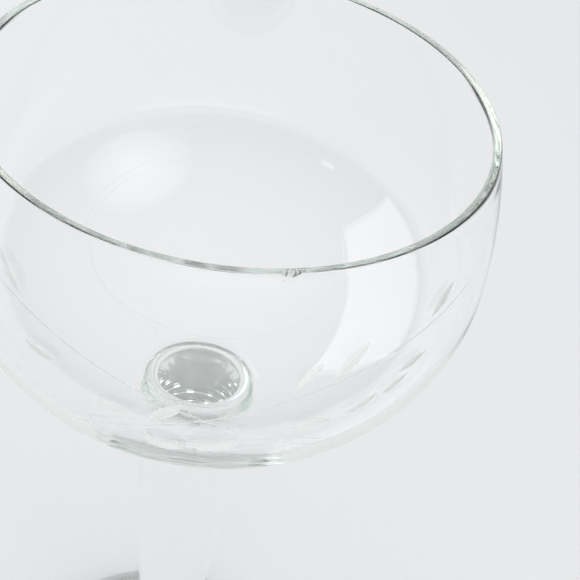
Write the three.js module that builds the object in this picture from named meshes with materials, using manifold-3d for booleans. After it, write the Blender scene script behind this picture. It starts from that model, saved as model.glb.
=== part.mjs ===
// A stemmed cocktail glass in millimetres, +Z up, standing on Z = 0 with its axis on Z.
// It is made as glass is made: a blown bowl, a stem drawn under it, and a foot cast on the stem.
// The three are fused, so neighbours meet face to face on a flat joint plane.
import * as THREE from 'three';
import { mergeVertices } from 'three/addons/utils/BufferGeometryUtils.js';
import Module from 'manifold-3d';

// Driving sizes. Every height is measured from the resting plane unless its name says otherwise.
const overallHeight = 170;
const rimRadius = 45;
const bellyBulge = 3.1;
const rimToBelly = 24.8;
const bowlDepth = 65.2;
const wall = 1.5;
const floorThickness = 2.3;
const lipRadius = 0.35;

const neckRadius = 8.5;
const neckLength = 2.6;
const neckBlend = 3.5;
const shoulderStep = 3.1;
const shoulderHeight = 5.2;
const waistRadius = 5.8;
const waistHeight = 20;

const footRadius = 33;
const footEdge = 2.4;
const restInset = 2;
const restWidth = 6;
const recessDepth = 1.6;

// The chip in the rim, at the side that faces -Y.
const chipAzimuth = 14.6;
const chipWidth = 3.4;
const chipDepth = 1.1;

const segments = 72;
const glassColour = 0xdfe8e2;

// Sizes and heights that follow from the driving sizes.
const bellyRadius = rimRadius + bellyBulge;
const shoulderRadius = neckRadius + shoulderStep;
const bellyHeight = overallHeight - rimToBelly;
const bowlBottom = overallHeight - bowlDepth;
const bowlJoint = bowlBottom - neckLength;
const shoulderLevel = bowlJoint - shoulderHeight;

const manifoldLibrary = await Module();
manifoldLibrary.setup();

function point(radius, height) {
  return new THREE.Vector2(radius, height);
}

// An arc of an upright ellipse centred on the axis at the belly. Angles are in radians above level.
function bowlArc(radius, semiHeight, startAngle, endAngle, divisions) {
  const clockwise = endAngle < startAngle;
  const arc = new THREE.EllipseCurve(0, bellyHeight, radius, semiHeight, startAngle, endAngle, clockwise);
  return arc.getPoints(divisions);
}

// The upper part of the bowl closes in from the belly to the rim along one ellipse.
function upperEllipse(belly, rim) {
  const rimAngle = Math.acos(rim / belly);
  return { rimAngle, semiHeight: rimToBelly / Math.sin(rimAngle) };
}

// The angle at which a lower bowl ellipse has shrunk to the given radius, below level.
function lowerAngle(radius, belly) {
  return -Math.acos(radius / belly);
}

// A curve leaves the bowl along its tangent and turns down the side of the neck.
function neckCurve(startAngle, semiHeight) {
  const start = point(bellyRadius * Math.cos(startAngle), bellyHeight + semiHeight * Math.sin(startAngle));
  const slope = -(semiHeight * Math.cos(startAngle)) / (bellyRadius * Math.sin(startAngle));
  const corner = point(neckRadius, start.y + slope * (neckRadius - start.x));
  const end = point(neckRadius, bowlJoint);
  return new THREE.QuadraticBezierCurve(start, corner, end).getPoints(4);
}

// A quarter circle or ellipse that rounds an edge, taken clockwise.
function roundedEdge(centre, radiusAcross, radiusUp, startAngle, endAngle, divisions) {
  const arc = new THREE.EllipseCurve(centre.x, centre.y, radiusAcross, radiusUp, startAngle, endAngle, true);
  return arc.getPoints(divisions);
}

// The rim's top is cut flat and fire-polished, which rounds its two edges.
function lipProfile() {
  const level = overallHeight - lipRadius;
  const innerCentre = point(rimRadius - wall + lipRadius, level);
  const outerCentre = point(rimRadius - lipRadius, level);
  return [
    ...roundedEdge(innerCentre, lipRadius, lipRadius, Math.PI, Math.PI / 2, 2),
    ...roundedEdge(outerCentre, lipRadius, lipRadius, Math.PI / 2, 0, 2),
  ];
}

function bowlProfile() {
  const innerBelly = bellyRadius - wall;
  const inner = upperEllipse(innerBelly, rimRadius - wall);
  const outer = upperEllipse(bellyRadius, rimRadius);
  const innerDrop = bowlDepth - floorThickness - rimToBelly;
  const outerDrop = bowlDepth - rimToBelly;
  const neckStart = lowerAngle(neckRadius + neckBlend, bellyRadius);
  const lipStart = Math.asin((rimToBelly - lipRadius) / inner.semiHeight);
  const lipEnd = Math.asin((rimToBelly - lipRadius) / outer.semiHeight);
  return [
    ...bowlArc(innerBelly, innerDrop, -Math.PI / 2, 0, 12),
    ...bowlArc(innerBelly, inner.semiHeight, 0, lipStart, 4).slice(1, -1),
    ...lipProfile(),
    ...bowlArc(bellyRadius, outer.semiHeight, lipEnd, 0, 4).slice(1),
    ...bowlArc(bellyRadius, outerDrop, 0, neckStart, 11).slice(1),
    ...neckCurve(neckStart, outerDrop).slice(1),
    point(0, bowlJoint),
  ];
}

// An ogee shoulder under the bowl, then a straight taper down to the waist.
function stemProfile() {
  const shoulder = new THREE.CubicBezierCurve(
    point(neckRadius, bowlJoint),
    point(neckRadius, bowlJoint - shoulderHeight * 0.7),
    point(shoulderRadius, shoulderLevel + shoulderHeight * 0.8),
    point(shoulderRadius, shoulderLevel),
  );
  return [
    point(0, bowlJoint),
    ...shoulder.getPoints(8),
    point(waistRadius, waistHeight),
    point(0, waistHeight),
  ];
}

// The rounded outer edge of the foot, from its upper surface down to the resting ring.
function footEdgeArc(restOuter) {
  const halfEdge = footEdge / 2;
  const upperCentre = point(footRadius - halfEdge, halfEdge);
  const lowerCentre = point(restOuter, halfEdge);
  return [
    ...roundedEdge(upperCentre, halfEdge, halfEdge, Math.PI / 2, 0, 4),
    ...roundedEdge(lowerCentre, restInset, halfEdge, 0, -Math.PI / 2, 3).slice(1),
  ];
}

// The foot sweeps out from the waist to a thin edge and rests on a flat ring round a shallow recess.
function footProfile() {
  const restOuter = footRadius - restInset;
  const restInner = restOuter - restWidth;
  const sweep = new THREE.CubicBezierCurve(
    point(waistRadius, waistHeight),
    point(waistRadius, footEdge * 2),
    point(footRadius / 2, footEdge * 2),
    point(footRadius - footEdge / 2, footEdge),
  );
  const recess = new THREE.QuadraticBezierCurve(
    point(restInner, 0),
    point(restInner / 2, recessDepth),
    point(0, recessDepth),
  );
  return [
    point(0, waistHeight),
    ...sweep.getPoints(12),
    ...footEdgeArc(restOuter).slice(1),
    ...recess.getPoints(6),
  ];
}

// Turns a profile about Z. The profile runs downwards on the outside.
function turned(profile) {
  const geometry = new THREE.LatheGeometry(profile.slice().reverse(), segments);
  geometry.rotateX(Math.PI / 2);
  return geometry;
}

function weldedPositions(geometry) {
  const bare = geometry.clone();
  bare.deleteAttribute('normal');
  bare.deleteAttribute('uv');
  return mergeVertices(bare, 1e-4);
}

function toSolid(geometry) {
  const welded = weldedPositions(geometry);
  const triangles = [];
  for (let i = 0; i < welded.index.count; i += 3) {
    const corners = [0, 1, 2].map((offset) => welded.index.getX(i + offset));
    if (new Set(corners).size === 3) {
      triangles.push(...corners);
    }
  }
  const mesh = new manifoldLibrary.Mesh({
    numProp: 3,
    vertProperties: Float32Array.from(welded.attributes.position.array),
    triVerts: Uint32Array.from(triangles),
  });
  return new manifoldLibrary.Manifold(mesh);
}

function toGeometry(solid) {
  const mesh = solid.getMesh();
  const geometry = new THREE.BufferGeometry();
  geometry.setAttribute('position', new THREE.BufferAttribute(mesh.vertProperties, 3));
  geometry.setIndex(new THREE.BufferAttribute(mesh.triVerts, 1));
  geometry.computeVertexNormals();
  return geometry;
}

// A faceted lump, centred in the rim's wall, that bites the chip out of its top edge.
function chipCutter() {
  const lump = new THREE.IcosahedronGeometry(1, 1);
  lump.scale(chipWidth / 2, wall, chipDepth);
  lump.translate(0, wall / 2 - rimRadius, overallHeight);
  lump.rotateZ(THREE.MathUtils.degToRad(chipAzimuth));
  return lump;
}

function chippedBowl() {
  const bowl = toSolid(turned(bowlProfile()));
  return toGeometry(bowl.subtract(toSolid(chipCutter())));
}

function glassPiece(name, geometry) {
  const material = new THREE.MeshStandardMaterial({ color: glassColour, roughness: 0.04, metalness: 0 });
  const mesh = new THREE.Mesh(geometry, material);
  mesh.name = name;
  return mesh;
}

const glass = new THREE.Group();
glass.name = 'stemmed_glass';
glass.add(glassPiece('bowl', chippedBowl()));
glass.add(glassPiece('stem', turned(stemProfile())));
glass.add(glassPiece('foot', turned(footProfile())));

export default glass;
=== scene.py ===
"""A stemmed cocktail glass: one fused glass body with engraved leaf sprays and a chipped rim.

The bowl, stem and foot of the frame are fused in the real glass, so one closed body stands for all
three. Its profile is turned about Z by a node tree. A second tree lays wheel-cut leaves and stem lines
on the bowl and cuts them, and the chip, out of the body. Everything is in metres.
"""

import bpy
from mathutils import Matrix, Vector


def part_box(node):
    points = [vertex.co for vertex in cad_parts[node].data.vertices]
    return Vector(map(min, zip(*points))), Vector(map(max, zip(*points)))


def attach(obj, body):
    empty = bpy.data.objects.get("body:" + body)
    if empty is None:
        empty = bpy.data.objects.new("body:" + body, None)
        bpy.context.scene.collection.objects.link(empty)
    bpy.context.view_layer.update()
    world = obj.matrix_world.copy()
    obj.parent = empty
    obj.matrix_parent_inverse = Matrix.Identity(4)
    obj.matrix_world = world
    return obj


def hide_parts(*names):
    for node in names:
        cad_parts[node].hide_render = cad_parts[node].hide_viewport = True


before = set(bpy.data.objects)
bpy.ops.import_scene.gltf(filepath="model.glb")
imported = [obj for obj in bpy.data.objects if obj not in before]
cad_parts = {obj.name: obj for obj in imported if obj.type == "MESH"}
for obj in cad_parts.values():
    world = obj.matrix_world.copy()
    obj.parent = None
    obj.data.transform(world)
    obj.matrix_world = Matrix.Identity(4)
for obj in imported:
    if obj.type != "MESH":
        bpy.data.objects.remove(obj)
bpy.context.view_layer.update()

import math

import bmesh
import bpy
from mathutils import Matrix, Vector, noise

MM = 0.001

# The bowl, as the frame was designed. What the frame's boxes give is read from them instead.
RIM_RADIUS = 45 * MM
RIM_TO_BELLY = 24.8 * MM
BOWL_DEPTH = 65.2 * MM
WALL = 1.5 * MM
FLOOR_THICKNESS = 2.3 * MM
LIP_RADIUS = 0.35 * MM
NECK_RADIUS = 8.5 * MM
NECK_BLEND = 3.5 * MM
SHOULDER_HEIGHT = 5.2 * MM
WAIST_RADIUS = 5.8 * MM
FOOT_EDGE = 2.4 * MM
REST_INSET = 2 * MM
REST_WIDTH = 6 * MM
RECESS_DEPTH = 1.6 * MM
# How far the shoulder's curve leaves its two ends upright, as shares of its height.
SHOULDER_PULL_DOWN = 0.7
SHOULDER_PULL_UP = 0.8
TURN_SEGMENTS = 288
WAVINESS = 0.03 * MM
WAVE_LENGTH = 14 * MM
WELD_DISTANCE = 0.001 * MM

# How many steps draw each stretch of the profile.
INNER_BOWL_STEPS = 36
OUTER_BOWL_STEPS = 32
UPPER_WALL_STEPS = 14
LIP_STEPS = 5
NECK_STEPS = 8
SHOULDER_STEPS = 14
TAPER_STEPS = 24
SWEEP_STEPS = 30
FOOT_EDGE_STEPS = 6
RECESS_STEPS = 12

# The engraving: two sprays that cross low on the bowl and mirror each other.
# Azimuths are in degrees, round from -Y towards +X.
CROSSING_AZIMUTH = 2
CROSSING_DROP = 27.7 * MM
STEM_START = -30
STEM_END = 62
STEM_STEP = 1.5
STEM_RISE = 0.326 * MM
STEM_BEND = 0.00118 * MM
STEM_LINE_RADIUS = 0.16 * MM
STEM_LINE_LIFT = 0.09 * MM
STEM_LINE_SIDES = 10
STEM_END_GIRTH = 0.45
STEM_GIRTH_GAIN = 6
LEAF_LENGTH = 7.6 * MM
LEAF_WIDTH = 2.7 * MM
LEAF_DEPTH = 0.26 * MM
LEAF_MARGIN = 1.1
STRIA_PITCH = 0.55 * MM
STRIA_DEPTH = 0.03 * MM
CUTTER_TOP = 0.8 * MM
LEAF_STEPS_ALONG = 20
LEAF_STEPS_ACROSS = 28

# What the loose points and the stem lines carry into the cutting tree.
POINT_ATTRIBUTES = (
    ("outwards", "FLOAT_VECTOR"), ("heading", "FLOAT_VECTOR"), ("size", "FLOAT_VECTOR"), ("girth", "FLOAT"),
)

# Each leaf: degrees along its stem from the crossing, mm above the stem, lean from the stem,
# length and plumpness. The two plump ones are petals at the foot of the sprays.
RISING_LEAVES = (
    (-7.5, 2.8, 22, 1.05, 1), (-7.3, -5.4, -37, 0.95, 2.2), (18.2, 3.7, 30, 0.72, 1),
    (20.4, -7.4, -13, 0.85, 1), (26.5, 3.3, 29, 1, 1), (30.8, -8.2, 13, 0.8, 1),
    (37.9, -8.1, 11, 0.7, 1), (41.6, -5.5, 0, 0.75, 1), (48, 3, 26, 0.8, 1),
)
FALLING_LEAVES = (
    (-2, -5.8, -34, 1.2, 1.75), (16.8, -6.4, -19, 0.8, 1.1), (33, -5.6, -12, 0.85, 1),
    (42, 3.2, 26, 0.95, 1), (50, -4.6, -14, 0.8, 1),
)

# The chip in the rim: facets left by a few conchoidal bites.
CHIP_AZIMUTH = 14.4
# Each bite: mm along the rim, mm out from the rim's outside, mm above it, half width, reach, depth.
BITES = (
    (0.15, 0.75, 0.8, 1.35, 2.5, 1.45),
    (-0.95, 0.5, 0.5, 0.7, 2.3, 1.0),
    (0.95, 0.3, 0.7, 0.7, 2.1, 1.05),
    (-0.45, 0.4, -0.1, 0.7, 0.6, 0.65),
    (0.45, 0.35, -0.05, 0.6, 0.5, 0.6),
    (-1.15, 0.3, -0.95, 0.22, 0.22, 0.3),
)

# A bite's lump is a ball whose radius varies by these shares, at these rates over its surface.
BITE_SWELL = 0.16
BITE_SWELL_RATE = 2.3
BITE_RIPPLE = 0.07
BITE_RIPPLE_RATE = 6.1

# The camera, placed from the middle of the rim.
EYE_BACK = 198.06 * MM
EYE_ABOVE = 127.21 * MM
EYE_PITCH = 40.06
EYE_YAW = -4.18
EYE_ROLL = 10.42
SENSOR_WIDTH = 36
LENS = 86.9

# The body's material slots, and the bend past which an edge of a cut is crisp, in degrees.
POLISHED, GROUND, BROKEN = range(3)
CREASE_ANGLE = 18
GLASS_IOR = 1.52

# The sizes of the surface patterns.
HANDLING_PATCH = 9 * MM
SCUFF_WIDTH = 0.5 * MM
RIPPLE_LENGTH = 16 * MM
GRIT_SIZE = 0.25 * MM
HACKLE_SPACING = 0.4 * MM
ROLLER_STIPPLE = 3 * MM

# The studio.
BOARD_COLOUR = "#e9eaeb"
FLOOR_SIZE = 8
FLOOR_GAP = 0.02 * MM
ROOM_STRENGTH = 1.12
# The room's shade by the height of the direction. The first two are the ends of the ramp.
ROOM_SHADES = ((0.0, "#808283"), (1.0, "#fdfdfd"), (0.1, "#77797a"), (0.4, "#c2c3c4"))
# Each softbox: name, azimuth, elevation, distance, width, height, power, spread, colour,
# and whether polished glass mirrors it. The one that it doesn't mirror lights only what is matt:
# the ground leaves, the chip and the floor.
SOFTBOXES = (
    ("window_softbox", -112, 19, 1.3, 1.73, 0.87, 7.2, 180, "#f3f8ff", True),
    ("fill_softbox", 48, 27, 0.9, 0.9, 0.7, 0.2, 60, "#fffaf4", True),
    ("front_softbox", 12, 4, 0.9, 1.1, 0.3, 2.7, 180, "#ffffff", False),
    ("lamp", -47, 9, 0.9, 0.1, 0.04, 0.02, 180, "#ffffff", True),
)
LIGHT_AIM = 140 * MM
LIGHT_BOUNCES = 64


def linear(hex_colour):
    """Turns an sRGB hex value into linear RGBA."""
    channels = [int(hex_colour[i:i + 2], 16) / 255 for i in (1, 3, 5)]
    bent = [c / 12.92 if c <= 0.04045 else ((c + 0.055) / 1.055) ** 2.4 for c in channels]
    return (*bent, 1)


def add_node(tree, kind, inputs=None, **settings):
    """Adds a node, sets its properties, and sets or links its inputs.

    A node given for an input stands for that node's first output.
    """
    node = tree.nodes.new(kind)
    for name, value in settings.items():
        setattr(node, name, value)
    for key, value in (inputs or {}).items():
        if isinstance(value, bpy.types.Node):
            value = value.outputs[0]
        if isinstance(value, bpy.types.NodeSocket):
            tree.links.new(value, node.inputs[key])
        else:
            node.inputs[key].default_value = value
    return node


# ---- the profile ----

def ellipse_arc(centre, across, up, start, end, steps):
    """Points on an upright ellipse, from one angle to another, in radians."""
    angles = [start + (end - start) * i / steps for i in range(steps + 1)]
    return [(centre[0] + across * math.cos(a), centre[1] + up * math.sin(a)) for a in angles]


def bezier(points, steps):
    """Points on a Bezier curve of any degree."""
    degree = len(points) - 1
    curve = []
    for i in range(steps + 1):
        t = i / steps
        weights = [math.comb(degree, k) * t ** k * (1 - t) ** (degree - k) for k in range(degree + 1)]
        curve.append(tuple(sum(w * p[axis] for w, p in zip(weights, points)) for axis in (0, 1)))
    return curve


def upper_ellipse(belly, rim):
    """The ellipse that closes in from the belly to the rim: its half height."""
    return RIM_TO_BELLY / math.sin(math.acos(rim / belly))


def measure_frame():
    """The levels and radii that the frame's boxes give."""
    boxes = {node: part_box(node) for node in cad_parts}
    bowl_low, bowl_high = boxes["bowl"]
    stem_high = boxes["stem"][1]
    foot_high = boxes["foot"][1]
    return {
        "top": bowl_high.z,
        "belly": bowl_high.x,
        "belly_level": bowl_high.z - RIM_TO_BELLY,
        "joint": bowl_low.z,
        "shoulder": stem_high.x,
        "waist_level": foot_high.z,
        "foot": foot_high.x,
    }


def inner_profile(m):
    """From the middle of the bowl's floor up the inside to the lip."""
    belly = m["belly"] - WALL
    centre = (0, m["belly_level"])
    drop = BOWL_DEPTH - FLOOR_THICKNESS - RIM_TO_BELLY
    rise = upper_ellipse(belly, RIM_RADIUS - WALL)
    lip_angle = math.asin((RIM_TO_BELLY - LIP_RADIUS) / rise)
    lower = ellipse_arc(centre, belly, drop, -math.pi / 2, 0, INNER_BOWL_STEPS)
    upper = ellipse_arc(centre, belly, rise, 0, lip_angle, UPPER_WALL_STEPS)
    return lower + upper[1:-1]


def lip_profile(m):
    """The cut and fire-polished rim: flat on top, with rounded edges."""
    level = m["top"] - LIP_RADIUS
    inside = (RIM_RADIUS - WALL + LIP_RADIUS, level)
    outside = (RIM_RADIUS - LIP_RADIUS, level)
    quarter = math.pi / 2
    inner_edge = ellipse_arc(inside, LIP_RADIUS, LIP_RADIUS, math.pi, quarter, LIP_STEPS)
    outer_edge = ellipse_arc(outside, LIP_RADIUS, LIP_RADIUS, quarter, 0, LIP_STEPS)
    return inner_edge + outer_edge


def outer_profile(m):
    """From the lip down the outside to the joint under the bowl."""
    belly = m["belly"]
    centre = (0, m["belly_level"])
    drop = BOWL_DEPTH - RIM_TO_BELLY
    rise = upper_ellipse(belly, RIM_RADIUS)
    lip_angle = math.asin((RIM_TO_BELLY - LIP_RADIUS) / rise)
    neck_angle = -math.acos((NECK_RADIUS + NECK_BLEND) / belly)
    upper = ellipse_arc(centre, belly, rise, lip_angle, 0, UPPER_WALL_STEPS)
    lower = ellipse_arc(centre, belly, drop, 0, neck_angle, OUTER_BOWL_STEPS)
    slope = -drop / belly / math.tan(neck_angle)
    start = lower[-1]
    corner = (NECK_RADIUS, start[1] + slope * (NECK_RADIUS - start[0]))
    neck = bezier([start, corner, (NECK_RADIUS, m["joint"])], NECK_STEPS)
    return upper[1:] + lower[1:] + neck[1:]


def stem_profile(m):
    """The ogee shoulder and the straight taper."""
    level = m["joint"] - SHOULDER_HEIGHT
    shoulder = bezier([
        (NECK_RADIUS, m["joint"]),
        (NECK_RADIUS, m["joint"] - SHOULDER_HEIGHT * SHOULDER_PULL_DOWN),
        (m["shoulder"], level + SHOULDER_HEIGHT * SHOULDER_PULL_UP),
        (m["shoulder"], level),
    ], SHOULDER_STEPS)
    taper = bezier([(m["shoulder"], level), (WAIST_RADIUS, m["waist_level"])], TAPER_STEPS)
    return shoulder[1:] + taper[1:]


def foot_profile(m):
    """The foot's sweep, its edge, its resting ring and the recess under it."""
    half_edge = FOOT_EDGE / 2
    rest_outer = m["foot"] - REST_INSET
    rest_inner = rest_outer - REST_WIDTH
    sweep = bezier([
        (WAIST_RADIUS, m["waist_level"]),
        (WAIST_RADIUS, FOOT_EDGE * 2),
        (m["foot"] / 2, FOOT_EDGE * 2),
        (m["foot"] - half_edge, FOOT_EDGE),
    ], SWEEP_STEPS)
    edge_middle = (m["foot"] - half_edge, half_edge)
    rest_middle = (rest_outer, half_edge)
    quarter = math.pi / 2
    upper_edge = ellipse_arc(edge_middle, half_edge, half_edge, quarter, 0, FOOT_EDGE_STEPS)
    lower_edge = ellipse_arc(rest_middle, REST_INSET, half_edge, 0, -quarter, FOOT_EDGE_STEPS)
    recess = bezier([(rest_inner, 0), (rest_inner / 2, RECESS_DEPTH), (0, RECESS_DEPTH)], RECESS_STEPS)
    return sweep[1:] + upper_edge[1:] + lower_edge[1:] + recess


def line_object(name, points):
    """A mesh of one open line through the points."""
    mesh = bpy.data.meshes.new(name)
    mesh.from_pydata(points, [(i, i + 1) for i in range(len(points) - 1)], [])
    return keep_object(name, mesh)


# ---- node trees ----

def new_tree(name, inputs):
    """An empty geometry tree with named inputs. Returns the tree and its input and output nodes."""
    tree = bpy.data.node_groups.new(name, "GeometryNodeTree")
    tree.interface.new_socket("Geometry", in_out="INPUT", socket_type="NodeSocketGeometry")
    for label, kind in inputs:
        tree.interface.new_socket(label, in_out="INPUT", socket_type="NodeSocket" + kind)
    tree.interface.new_socket("Geometry", in_out="OUTPUT", socket_type="NodeSocketGeometry")
    return tree, add_node(tree, "NodeGroupInput").outputs, add_node(tree, "NodeGroupOutput")


def run_tree(target, tree, values):
    """Runs a tree on an object and keeps the result as the object's plain mesh."""
    modifier = target.modifiers.new(tree.name, "NODES")
    modifier.node_group = tree
    for item in tree.interface.items_tree:
        if item.name in values:
            modifier[item.identifier] = values[item.name]
    graph = bpy.context.evaluated_depsgraph_get()
    mesh = bpy.data.meshes.new_from_object(target.evaluated_get(graph), depsgraph=graph)
    target.modifiers.clear()
    target.data = mesh


def turning_tree():
    """Turns the profile line about Z: a grid whose columns are turned copies of the line."""
    tree, given, result = new_tree("turned profile", [
        ("Segments", "Int"), ("Profile Points", "Int"), ("First Inside Point", "Int"),
        ("Waviness", "Float"), ("Wave Length", "Float"), ("Weld Distance", "Float"),
        ("Material", "Material"),
    ])
    count = given["Profile Points"]
    columns = add_node(tree, "ShaderNodeMath", {0: given["Segments"], 1: 1.0}, operation="ADD")
    grid = add_node(tree, "GeometryNodeMeshGrid", {"Vertices X": columns, "Vertices Y": count})
    index = add_node(tree, "GeometryNodeInputIndex")
    share = add_node(tree, "ShaderNodeMath", {0: index, 1: count}, operation="DIVIDE")
    column = add_node(tree, "ShaderNodeMath", {0: share}, operation="FLOOR")
    passed = add_node(tree, "ShaderNodeMath", {0: column, 1: count}, operation="MULTIPLY")
    row = add_node(tree, "ShaderNodeMath", {0: index, 1: passed}, operation="SUBTRACT")
    sample = add_node(tree, "GeometryNodeSampleIndex", {
        "Geometry": given["Geometry"],
        "Value": add_node(tree, "GeometryNodeInputPosition"),
        "Index": row,
    }, data_type="FLOAT_VECTOR")
    point = add_node(tree, "ShaderNodeSeparateXYZ", {0: sample}).outputs
    turn = add_node(tree, "ShaderNodeMath", {0: column, 1: given["Segments"]}, operation="DIVIDE")
    angle = add_node(tree, "ShaderNodeMath", {0: turn, 1: math.tau}, operation="MULTIPLY")
    across = add_node(tree, "ShaderNodeMath", {0: angle}, operation="COSINE")
    along = add_node(tree, "ShaderNodeMath", {0: angle}, operation="SINE")

    def turned(radius):
        return add_node(tree, "ShaderNodeCombineXYZ", {
            "X": add_node(tree, "ShaderNodeMath", {0: radius, 1: across}, operation="MULTIPLY"),
            "Y": add_node(tree, "ShaderNodeMath", {0: radius, 1: along}, operation="MULTIPLY"),
            "Z": point["Z"],
        })

    # The mould shapes the outside, and the blown inside keeps a slight waviness.
    rate = add_node(tree, "ShaderNodeMath", {0: 1.0, 1: given["Wave Length"]}, operation="DIVIDE")
    waves = add_node(tree, "ShaderNodeTexNoise", {"Vector": turned(point["X"]), "Scale": rate, "Detail": 1.0})
    is_inside = add_node(tree, "ShaderNodeMath", {
        0: row,
        1: given["First Inside Point"],
    }, operation="GREATER_THAN")
    inside_waves = add_node(tree, "ShaderNodeMath", {0: waves, 1: is_inside}, operation="MULTIPLY")
    swell = add_node(tree, "ShaderNodeMath", {0: inside_waves, 1: given["Waviness"]}, operation="MULTIPLY")
    swollen = add_node(tree, "ShaderNodeMath", {0: point["X"], 1: swell}, operation="SUBTRACT")
    radius = add_node(tree, "ShaderNodeMath", {0: swollen, 1: 0.0}, operation="MAXIMUM")
    placed = add_node(tree, "GeometryNodeSetPosition", {"Geometry": grid, "Position": turned(radius)})
    welded = add_node(tree, "GeometryNodeMergeByDistance", {
        "Geometry": placed,
        "Distance": given["Weld Distance"],
    })
    smoothed = add_node(tree, "GeometryNodeSetShadeSmooth", {"Geometry": welded})
    realized = add_node(tree, "GeometryNodeRealizeInstances", {"Geometry": smoothed})
    finished = add_node(tree, "GeometryNodeSetMaterial", {
        "Geometry": realized,
        "Material": given["Material"],
    })
    tree.links.new(finished.outputs[0], result.inputs[0])
    return tree


def cutting_tree():
    """Lays wheel cuts and bites on the glass, runs round tubes along the stems, and cuts them all away.

    Each cutter brings the material of the face that it leaves, so the materials are set before the cut.
    """
    tree, given, result = new_tree("wheel cuts and chip", [
        ("Leaves", "Object"), ("Leaf Wheel", "Object"), ("Bites", "Object"), ("Bite Lump", "Object"),
        ("Rising Stem", "Object"), ("Falling Stem", "Object"), ("Stem Line Radius", "Float"),
        ("Stem Line Sides", "Int"), ("Ground Glass", "Material"), ("Broken Glass", "Material"),
    ])
    carried = {
        name: add_node(tree, "GeometryNodeInputNamedAttribute", {"Name": name}, data_type=data_type)
        for name, data_type in POINT_ATTRIBUTES
    }
    turn = add_node(tree, "FunctionNodeAxesToRotation", {
        "Primary Axis": carried["outwards"],
        "Secondary Axis": carried["heading"],
    }, primary_axis="Z", secondary_axis="X")
    cutters = []
    for places, lump, material in (
        ("Leaves", "Leaf Wheel", "Ground Glass"),
        ("Bites", "Bite Lump", "Broken Glass"),
    ):
        points = add_node(tree, "GeometryNodeObjectInfo", {"Object": given[places]})
        shape = add_node(tree, "GeometryNodeObjectInfo", {"Object": given[lump]})
        laid = add_node(tree, "GeometryNodeInstanceOnPoints", {
            "Points": points.outputs["Geometry"],
            "Instance": shape.outputs["Geometry"],
            "Rotation": turn,
            "Scale": carried["size"],
        })
        cutters.append(add_node(tree, "GeometryNodeSetMaterial", {
            "Geometry": laid,
            "Material": given[material],
        }))
    for path in ("Rising Stem", "Falling Stem"):
        line = add_node(tree, "GeometryNodeObjectInfo", {"Object": given[path]})
        curve = add_node(tree, "GeometryNodeMeshToCurve", {"Mesh": line.outputs["Geometry"]})
        wheel = add_node(tree, "GeometryNodeCurvePrimitiveCircle", {
            "Resolution": given["Stem Line Sides"],
            "Radius": given["Stem Line Radius"],
        })
        tube = add_node(tree, "GeometryNodeCurveToMesh", {
            "Curve": curve,
            "Profile Curve": wheel,
            "Scale": carried["girth"],
            "Fill Caps": True,
        })
        cutters.append(add_node(tree, "GeometryNodeSetMaterial", {
            "Geometry": tube,
            "Material": given["Ground Glass"],
        }))
    cut = add_node(tree, "GeometryNodeMeshBoolean", {"Mesh 1": given["Geometry"]},
                   operation="DIFFERENCE", solver="MANIFOLD")
    for cutter in cutters:
        tree.links.new(cutter.outputs[0], cut.inputs["Mesh 2"])
    finished = add_node(tree, "GeometryNodeRealizeInstances", {"Geometry": cut})
    tree.links.new(finished.outputs[0], result.inputs[0])
    return tree


# ---- the cutters ----

def wall_point(azimuth, height, m):
    """A point on the bowl's outside, and its unit directions round, up and outwards."""
    lift = height - m["belly_level"]
    half_height = upper_ellipse(m["belly"], RIM_RADIUS) if lift > 0 else BOWL_DEPTH - RIM_TO_BELLY
    radius = m["belly"] * math.sqrt(1 - (lift / half_height) ** 2)
    angle = math.radians(azimuth - 90)
    spoke = Vector((math.cos(angle), math.sin(angle), 0))
    outwards = (spoke * radius / m["belly"] ** 2 + Vector((0, 0, lift / half_height ** 2))).normalized()
    round_wall = Vector((-math.sin(angle), math.cos(angle), 0))
    return spoke * radius + Vector((0, 0, height)), round_wall, outwards.cross(round_wall), outwards


def stem_height(along, m):
    """How high a stem runs, by degrees along it from the crossing."""
    return m["top"] - CROSSING_DROP + STEM_RISE * along - STEM_BEND * along ** 2


def stem_path(way, m):
    """The middle line of one stem, lifted so that its round cutter leaves a shallow groove."""
    count = round((STEM_END - STEM_START) / STEM_STEP)
    points = []
    for i in range(count + 1):
        along = STEM_START + i * STEM_STEP
        place, _, _, outwards = wall_point(CROSSING_AZIMUTH + way * along, stem_height(along, m), m)
        points.append(place + outwards * STEM_LINE_LIFT)
    return points


def leaf_rows(leaves, way, m):
    """The place, direction outwards, heading and size of each leaf of one spray."""
    rows = []
    for along, above, lean, size, plumpness in leaves:
        climb = STEM_RISE - 2 * STEM_BEND * along
        tilt = math.atan2(climb, m["belly"] * math.radians(1)) + math.radians(lean)
        place, round_wall, up_wall, outwards = wall_point(
            CROSSING_AZIMUTH + way * along, stem_height(along, m) + above * MM, m)
        heading = round_wall * way * math.cos(tilt) + up_wall * math.sin(tilt)
        rows.append((place, outwards, heading, Vector((size, size * plumpness, size))))
    return rows


def bite_rows(m):
    """The place, direction outwards, heading and size of each bite of the chip."""
    rows = []
    for along, out, above, half_width, reach, depth in BITES:
        angle = math.radians(CHIP_AZIMUTH - 90) + along * MM / RIM_RADIUS
        spoke = Vector((math.cos(angle), math.sin(angle), 0))
        round_wall = Vector((-math.sin(angle), math.cos(angle), 0))
        place = spoke * (RIM_RADIUS + out * MM) + Vector((0, 0, m["top"] + above * MM))
        rows.append((place, Vector((0, 0, 1)), round_wall, Vector((half_width, reach, depth)) * MM))
    return rows


def point_object(name, rows):
    """Loose points that carry the directions and the size of what is laid on them."""
    mesh = bpy.data.meshes.new(name)
    mesh.from_pydata([row[0] for row in rows], [], [])
    for column, label in enumerate(("outwards", "heading", "size"), start=1):
        layer = mesh.attributes.new(label, "FLOAT_VECTOR", "POINT")
        layer.data.foreach_set("vector", [value for row in rows for value in row[column]])
    return keep_object(name, mesh)


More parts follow.
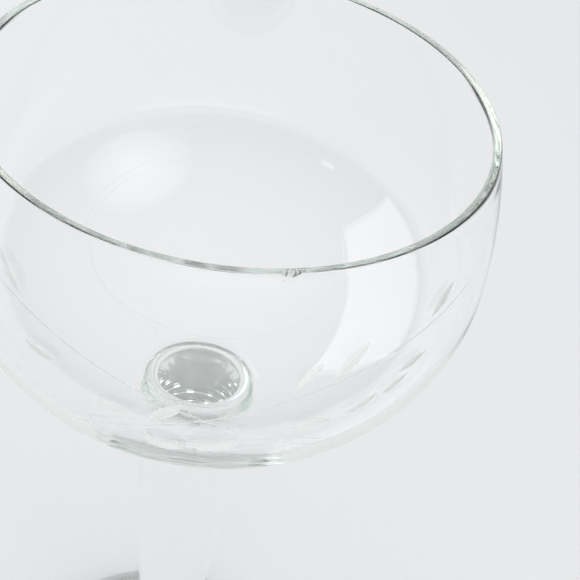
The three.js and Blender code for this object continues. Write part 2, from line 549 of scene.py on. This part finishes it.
def stem_object(name, points):
    """An open line whose girth tapers to both ends."""
    line = line_object(name, points)
    girth = line.data.attributes.new("girth", "FLOAT", "POINT")
    last = len(points) - 1
    for i in range(len(points)):
        girth.data[i].value = min(1, STEM_END_GIRTH + STEM_GIRTH_GAIN * min(i, last - i) / last)
    return line


def leaf_wheel(m):
    """The block of glass that one pass of a mitred wheel grinds away, rounded along, vee-shaped across."""
    half_length = LEAF_LENGTH / 2 * LEAF_MARGIN
    half_width = LEAF_WIDTH / 2 * LEAF_MARGIN
    bank = 2 * LEAF_DEPTH / LEAF_WIDTH
    curve = 8 * LEAF_DEPTH / LEAF_LENGTH ** 2 - 1 / m["belly"]
    floor = []
    top = []
    for i in range(LEAF_STEPS_ALONG + 1):
        x = half_length * (2 * i / LEAF_STEPS_ALONG - 1)
        for j in range(LEAF_STEPS_ACROSS + 1):
            y = half_width * (2 * j / LEAF_STEPS_ACROSS - 1)
            stria = STRIA_DEPTH * math.cos(math.tau * y / STRIA_PITCH)
            floor.append((x, y, -LEAF_DEPTH + curve * x * x / 2 + bank * abs(y) + stria))
            top.append((x, y, CUTTER_TOP))
    return grid_block("leaf_wheel", floor, top, LEAF_STEPS_ALONG, LEAF_STEPS_ACROSS)


def grid_block(name, floor, top, along_count, across_count):
    """A closed block between two grids of the same size."""
    row = across_count + 1
    size = len(floor)
    faces = []
    for i in range(along_count):
        for j in range(across_count):
            a = i * row + j
            quad = (a, a + 1, a + row + 1, a + row)
            faces.append(quad)
            faces.append(tuple(size + k for k in reversed(quad)))
    border = list(range(row))
    border += [i * row + across_count for i in range(1, along_count + 1)]
    border += [along_count * row + j for j in range(across_count - 1, -1, -1)]
    border += [i * row for i in range(along_count - 1, 0, -1)]
    for a, b in zip(border, border[1:] + border[:1]):
        faces.append((a, size + a, size + b, b))
    mesh = bpy.data.meshes.new(name)
    mesh.from_pydata(floor + top, [], faces)
    return keep_object(name, mesh)


def bite_lump():
    """A faceted lump: glass breaks away in small curved shells."""
    shape = bmesh.new()
    bmesh.ops.create_icosphere(shape, subdivisions=3, radius=1)
    for corner in shape.verts:
        swell = BITE_SWELL * noise.noise(corner.co * BITE_SWELL_RATE)
        ripple = BITE_RIPPLE * noise.noise(corner.co * BITE_RIPPLE_RATE)
        corner.co *= 1 + swell + ripple
    mesh = bpy.data.meshes.new("bite_lump")
    shape.to_mesh(mesh)
    shape.free()
    return keep_object("bite_lump", mesh)


def keep_object(name, mesh):
    """Links a new object for a mesh."""
    thing = bpy.data.objects.new(name, mesh)
    bpy.context.scene.collection.objects.link(thing)
    return thing


# ---- materials ----

def new_material(name):
    """An empty node material with an output. Returns the material, its tree and its output node."""
    material = bpy.data.materials.new(name)
    material.use_nodes = True
    material.node_tree.nodes.clear()
    output = add_node(material.node_tree, "ShaderNodeOutputMaterial")
    return material, material.node_tree, output


def polished_glass():
    """Blown soda-lime glass, fire-polished: water clear with crisp highlights, faintly green in its depth.

    Handling leaves a barely uneven gloss, and the resting ring is scuffed dull by table tops.
    """
    material, tree, output = new_material("blown_soda_lime_glass")
    place = add_node(tree, "ShaderNodeTexCoord").outputs["Object"]
    height = add_node(tree, "ShaderNodeSeparateXYZ", {0: place}).outputs["Z"]
    handling = add_node(tree, "ShaderNodeTexNoise", {
        "Vector": place,
        "Scale": 1 / HANDLING_PATCH,
        "Detail": 3.0,
    })
    gloss = add_node(tree, "ShaderNodeMapRange", {
        "Value": handling.outputs[0],
        "From Min": 0.45,
        "From Max": 0.8,
        "To Min": 0.0,
        "To Max": 0.02,
    })
    # Scuffs are hair-fine; they are drawn 0.5 mm wide, so that they show.
    scuffs = add_node(tree, "ShaderNodeTexNoise", {"Vector": place, "Scale": 1 / SCUFF_WIDTH, "Detail": 4.0})
    near_table = add_node(tree, "ShaderNodeMapRange", {
        "Value": height,
        "From Min": 0.15 * MM,
        "From Max": 0.02 * MM,
        "To Min": 0.0,
        "To Max": 0.5,
    })
    wear = add_node(tree, "ShaderNodeMath", {0: scuffs, 1: near_table}, operation="MULTIPLY")
    # Blown glass cools with a long, shallow ripple.
    ripple = add_node(tree, "ShaderNodeTexNoise", {
        "Vector": place,
        "Scale": 1 / RIPPLE_LENGTH,
        "Detail": 1.0,
    })
    bump = add_node(tree, "ShaderNodeBump", {
        "Height": ripple.outputs[0],
        "Strength": 0.25,
        "Distance": 0.05 * MM,
    })
    shader = add_node(tree, "ShaderNodeBsdfPrincipled", {
        "Base Color": linear("#ffffff"),
        "Roughness": add_node(tree, "ShaderNodeMath", {0: gloss, 1: wear}, operation="ADD"),
        "Normal": bump.outputs[0],
        "IOR": GLASS_IOR,
        "Transmission Weight": 1.0,
    })
    depth = add_node(tree, "ShaderNodeVolumeAbsorption", {"Color": linear("#d3e6d9"), "Density": 3.5})
    tree.links.new(shader.outputs[0], output.inputs["Surface"])
    tree.links.new(depth.outputs[0], output.inputs["Volume"])
    return material


def ground_glass():
    """Glass cut by a mitred stone wheel and left unpolished: a pale grey bloom that glints as it turns."""
    material, tree, output = new_material("wheel_ground_glass")
    place = add_node(tree, "ShaderNodeTexCoord").outputs["Object"]
    # The wheel's grit is about 0.05 mm; it is drawn at 0.25 mm, so that it shows.
    grit = add_node(tree, "ShaderNodeTexNoise", {"Vector": place, "Scale": 1 / GRIT_SIZE, "Detail": 3.0})
    roughness = add_node(tree, "ShaderNodeMapRange", {
        "Value": grit.outputs[0],
        "From Min": 0.3,
        "From Max": 0.7,
        "To Min": 0.42,
        "To Max": 0.62,
    })
    bump = add_node(tree, "ShaderNodeBump", {
        "Height": grit.outputs[0],
        "Strength": 0.3,
        "Distance": 0.02 * MM,
    })
    shader = add_node(tree, "ShaderNodeBsdfPrincipled", {
        "Base Color": linear("#fbfcfb"),
        "Roughness": roughness.outputs[0],
        "Normal": bump.outputs[0],
        "IOR": GLASS_IOR,
        "Transmission Weight": 0.48,
    })
    tree.links.new(shader.outputs[0], output.inputs["Surface"])
    return material


def broken_glass():
    """A fresh break: clear curved shells with fine hackle lines that sparkle white."""
    material, tree, output = new_material("broken_glass")
    place = add_node(tree, "ShaderNodeTexCoord").outputs["Object"]
    # Hackle lines are finer than 0.1 mm; they are drawn at 0.4 mm, so that they show.
    hackle = add_node(tree, "ShaderNodeTexNoise", {
        "Vector": place,
        "Scale": 1 / HACKLE_SPACING,
        "Detail": 4.0,
        "Distortion": 0.6,
    })
    bump = add_node(tree, "ShaderNodeBump", {
        "Height": hackle.outputs[0],
        "Strength": 0.8,
        "Distance": 0.08 * MM,
    })
    roughness = add_node(tree, "ShaderNodeMapRange", {
        "Value": hackle.outputs[0],
        "From Min": 0.35,
        "From Max": 0.7,
        "To Min": 0.05,
        "To Max": 0.3,
    })
    shader = add_node(tree, "ShaderNodeBsdfPrincipled", {
        "Base Color": linear("#fbfdfb"),
        "Roughness": roughness.outputs[0],
        "Normal": bump.outputs[0],
        "IOR": GLASS_IOR,
        "Transmission Weight": 0.92,
    })
    tree.links.new(shader.outputs[0], output.inputs["Surface"])
    return material


def matt_board():
    """Painted studio board: pale, even and dead matt."""
    material, tree, output = new_material("matt_painted_board")
    place = add_node(tree, "ShaderNodeTexCoord").outputs["Object"]
    roller = add_node(tree, "ShaderNodeTexNoise", {
        "Vector": place,
        "Scale": 1 / ROLLER_STIPPLE,
        "Detail": 2.0,
    })
    bump = add_node(tree, "ShaderNodeBump", {
        "Height": roller.outputs[0],
        "Strength": 0.15,
        "Distance": 0.05 * MM,
    })
    shader = add_node(tree, "ShaderNodeBsdfPrincipled", {
        "Base Color": linear(BOARD_COLOUR),
        "Roughness": 0.9,
        "Specular IOR Level": 0.1,
        "Normal": bump.outputs[0],
    })
    tree.links.new(shader.outputs[0], output.inputs["Surface"])
    return material


# ---- the glass ----

def make_body(m):
    """Turns the fused glass and cuts the engraving and the chip into it."""
    polished = polished_glass()
    ground = ground_glass()
    broken = broken_glass()
    inside = inner_profile(m)
    profile = (inside + lip_profile(m) + outer_profile(m) + stem_profile(m) + foot_profile(m))[::-1]
    body = line_object("cocktail_glass", [(x, 0, z) for x, z in profile])
    run_tree(body, turning_tree(), {
        "Segments": TURN_SEGMENTS,
        "Profile Points": len(profile),
        "First Inside Point": len(profile) - len(inside),
        "Waviness": WAVINESS,
        "Wave Length": WAVE_LENGTH,
        "Weld Distance": WELD_DISTANCE,
        "Material": polished,
    })
    leaves = leaf_rows(RISING_LEAVES, 1, m) + leaf_rows(FALLING_LEAVES, -1, m)
    helpers = {
        "Leaves": point_object("leaf_points", leaves),
        "Leaf Wheel": leaf_wheel(m),
        "Bites": point_object("bite_points", bite_rows(m)),
        "Bite Lump": bite_lump(),
        "Rising Stem": stem_object("rising_stem", stem_path(1, m)),
        "Falling Stem": stem_object("falling_stem", stem_path(-1, m)),
    }
    run_tree(body, cutting_tree(), {
        **helpers,
        "Stem Line Radius": STEM_LINE_RADIUS,
        "Stem Line Sides": STEM_LINE_SIDES,
        "Ground Glass": ground,
        "Broken Glass": broken,
    })
    for helper in helpers.values():
        bpy.data.objects.remove(helper)
    order_materials(body, [polished, ground, broken])
    sharpen_cuts(body)
    return body


def order_materials(body, materials):
    """Gives the body just these material slots, in this order."""
    slots = list(body.data.materials)
    indices = [materials.index(slots[face.material_index]) for face in body.data.polygons]
    body.data.materials.clear()
    for material in materials:
        body.data.materials.append(material)
    body.data.polygons.foreach_set("material_index", indices)


def sharpen_cuts(body):
    """Keeps the glass smooth, with crisp edges where a cut begins and where its faces meet."""
    shape = bmesh.new()
    shape.from_mesh(body.data)
    for face in shape.faces:
        face.smooth = True
    for edge in shape.edges:
        faces = edge.link_faces
        if len(faces) != 2:
            continue
        slots = {face.material_index for face in faces}
        creased = slots != {POLISHED} and edge.calc_face_angle() > math.radians(CREASE_ANGLE)
        edge.smooth = not (len(slots) > 1 or BROKEN in slots or creased)
    shape.to_mesh(body.data)
    shape.free()


# ---- the studio ----

def make_camera(m):
    """The camera, looking down into the bowl from the front, tilted as a hand-held one is."""
    lens = bpy.data.cameras.new("camera")
    lens.sensor_width = SENSOR_WIDTH
    lens.lens = LENS
    lens.clip_start = 1 * MM
    camera = bpy.data.objects.new("camera", lens)
    bpy.context.scene.collection.objects.link(camera)
    turn = (Matrix.Rotation(math.radians(EYE_YAW), 4, "Z")
            @ Matrix.Rotation(math.radians(90 - EYE_PITCH), 4, "X")
            @ Matrix.Rotation(math.radians(EYE_ROLL), 4, "Z"))
    camera.matrix_world = Matrix.Translation((0, -EYE_BACK, m["top"] + EYE_ABOVE)) @ turn
    bpy.context.scene.camera = camera


def make_softbox(name, azimuth, elevation, distance, width, height, power, spread, colour, mirrored):
    """A softbox that faces the bowl."""
    light = bpy.data.lights.new(name, "AREA")
    light.shape = "ELLIPSE" if spread < 180 else "RECTANGLE"
    light.size = width
    light.size_y = height
    light.energy = power
    light.spread = math.radians(spread)
    light.color = linear(colour)[:3]
    box = bpy.data.objects.new(name, light)
    bpy.context.scene.collection.objects.link(box)
    box.visible_glossy = mirrored
    box.visible_transmission = mirrored
    angle = math.radians(azimuth - 90)
    rise = math.radians(elevation)
    spoke = Vector((math.cos(angle) * math.cos(rise), math.sin(angle) * math.cos(rise), math.sin(rise)))
    aim = Vector((0, 0, LIGHT_AIM))
    box.location = aim + spoke * distance
    box.rotation_euler = spoke.to_track_quat("Z", "Y").to_euler()


def make_room():
    """The light of the room: pale overhead, darker towards the horizon."""
    world = bpy.data.worlds.new("room")
    world.use_nodes = True
    tree = world.node_tree
    tree.nodes.clear()
    direction = add_node(tree, "ShaderNodeTexCoord").outputs["Generated"]
    height = add_node(tree, "ShaderNodeSeparateXYZ", {0: direction}).outputs["Z"]
    shade = add_node(tree, "ShaderNodeValToRGB", {0: height})
    for stop, (place, colour) in zip(shade.color_ramp.elements, ROOM_SHADES[:2]):
        stop.position = place
        stop.color = linear(colour)
    for place, colour in ROOM_SHADES[2:]:
        shade.color_ramp.elements.new(place).color = linear(colour)
    glow = add_node(tree, "ShaderNodeBackground", {"Color": shade.outputs[0], "Strength": ROOM_STRENGTH})
    output = add_node(tree, "ShaderNodeOutputWorld")
    tree.links.new(glow.outputs[0], output.inputs[0])
    bpy.context.scene.world = world


def make_floor():
    """A wide pale board under the glass."""
    half = FLOOR_SIZE / 2
    mesh = bpy.data.meshes.new("floor")
    corners = [(-half, -half), (half, -half), (half, half), (-half, half)]
    mesh.from_pydata([(x, y, -FLOOR_GAP) for x, y in corners], [], [(0, 1, 2, 3)])
    floor = keep_object("floor", mesh)
    mesh.materials.append(matt_board())


def set_light_paths():
    """Lets light pass through every wall of the glass, and shows colours as they are."""
    scene = bpy.context.scene
    scene.view_settings.view_transform = "Standard"
    scene.cycles.max_bounces = LIGHT_BOUNCES
    scene.cycles.transmission_bounces = LIGHT_BOUNCES
    scene.cycles.glossy_bounces = LIGHT_BOUNCES


def main():
    """Builds the glass in the frame, and the studio round it."""
    m = measure_frame()
    make_camera(m)
    body = make_body(m)
    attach(body, "root")
    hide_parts("bowl", "stem", "foot")
    make_floor()
    make_room()
    for softbox in SOFTBOXES:
        make_softbox(*softbox)
    set_light_paths()


main()
